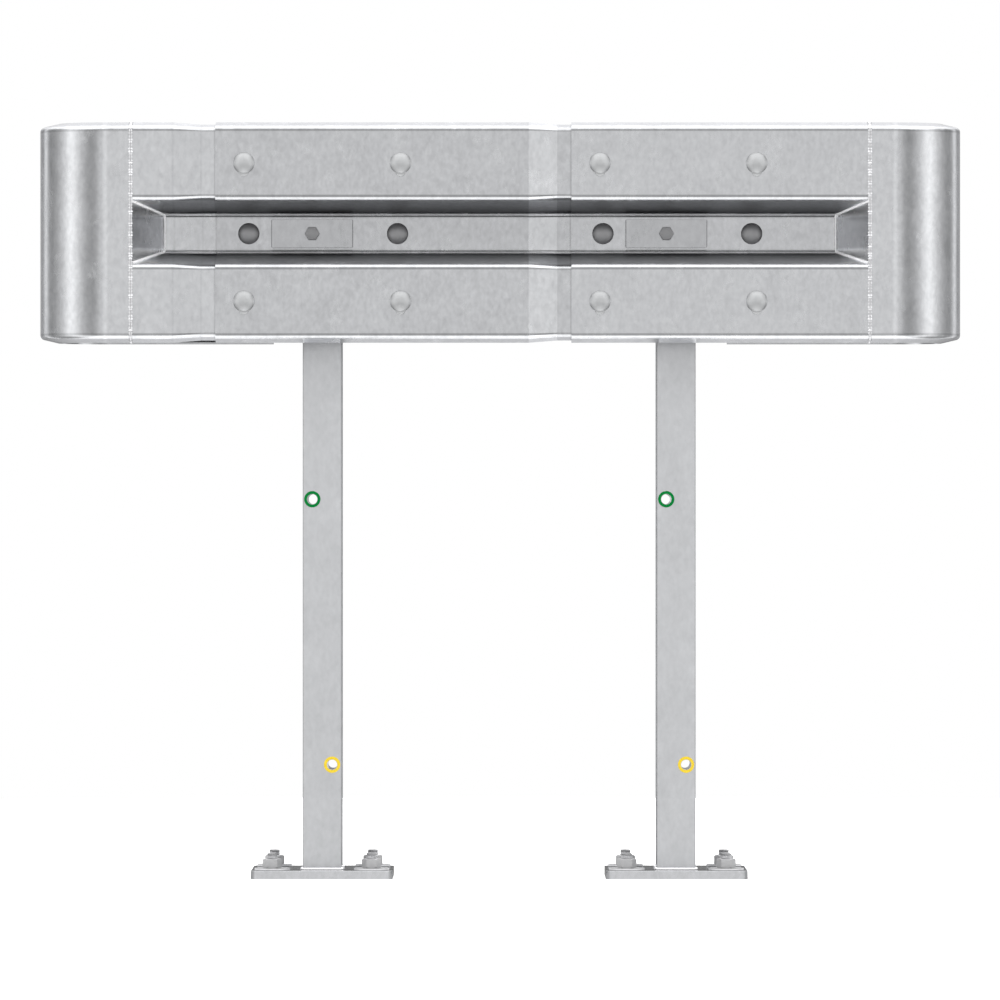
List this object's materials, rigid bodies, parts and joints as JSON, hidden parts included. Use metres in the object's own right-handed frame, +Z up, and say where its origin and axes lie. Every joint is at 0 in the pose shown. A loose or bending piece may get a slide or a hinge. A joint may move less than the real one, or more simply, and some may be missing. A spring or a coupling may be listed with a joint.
{
  "type": "crash barrier",
  "caption": "Free-standing crash barrier: a folded steel guard rail with a deep centre groove and rounded return noses, on I-section posts with anchored base plates.",
  "frame": {"origin": "middle of the footprint of the whole barrier, at the floor", "axes": "+X along the rail to the right seen from the front, +Y to the rear, +Z up; the front of the rail faces -Y"},
  "size_m": [1.3, 0.2424, 1.0663],
  "materials": {
    "galvanised_beam": "hot-dip galvanised sheet with a soft spangle",
    "galvanised_post": "hot-dip galvanised rolled section, matt grey",
    "galvanised_plate": "hot-dip galvanised plate, matt grey",
    "weld": "rippled weld bead under zinc",
    "zinc_bolt": "zinc-coated fastener, bright",
    "green_ring": "plain green ring",
    "yellow_ring": "plain yellow ring"
  },
  "bodies": {
    "root": {"left_end_beam": "galvanised_beam", "middle_beam": "galvanised_beam", "right_end_beam": "galvanised_beam", "left_nose": "galvanised_beam", "left_groove_closure": "galvanised_beam", "left_nose_weld": "weld", "left_closure_weld": "weld", "left_post": "galvanised_post", "left_post_weld": "weld", "left_base_plate": "galvanised_plate", "left_cover_strap": "galvanised_plate", "left_upper_hole_ring": "green_ring", "left_lower_hole_ring": "yellow_ring", "left_post_bolt": "zinc_bolt", "left_post_washer": "zinc_bolt", "left_post_nut": "zinc_bolt", "left_crest_bolts": "zinc_bolt", "left_crest_washers": "zinc_bolt", "left_crest_nuts": "zinc_bolt", "left_groove_bolts": "zinc_bolt", "left_groove_washers": "zinc_bolt", "left_groove_nuts": "zinc_bolt", "left_anchor_studs": "zinc_bolt", "left_anchor_washers": "zinc_bolt", "left_anchor_nuts": "zinc_bolt", "right_nose": "galvanised_beam", "right_groove_closure": "galvanised_beam", "right_nose_weld": "weld", "right_closure_weld": "weld", "right_post": "galvanised_post", "right_post_weld": "weld", "right_base_plate": "galvanised_plate", "right_cover_strap": "galvanised_plate", "right_upper_hole_ring": "green_ring", "right_lower_hole_ring": "yellow_ring", "right_post_bolt": "zinc_bolt", "right_post_washer": "zinc_bolt", "right_post_nut": "zinc_bolt", "right_crest_bolts": "zinc_bolt", "right_crest_washers": "zinc_bolt", "right_crest_nuts": "zinc_bolt", "right_groove_bolts": "zinc_bolt", "right_groove_washers": "zinc_bolt", "right_groove_nuts": "zinc_bolt", "right_anchor_studs": "zinc_bolt", "right_anchor_washers": "zinc_bolt", "right_anchor_nuts": "zinc_bolt"}
  },
  "joints": []
}
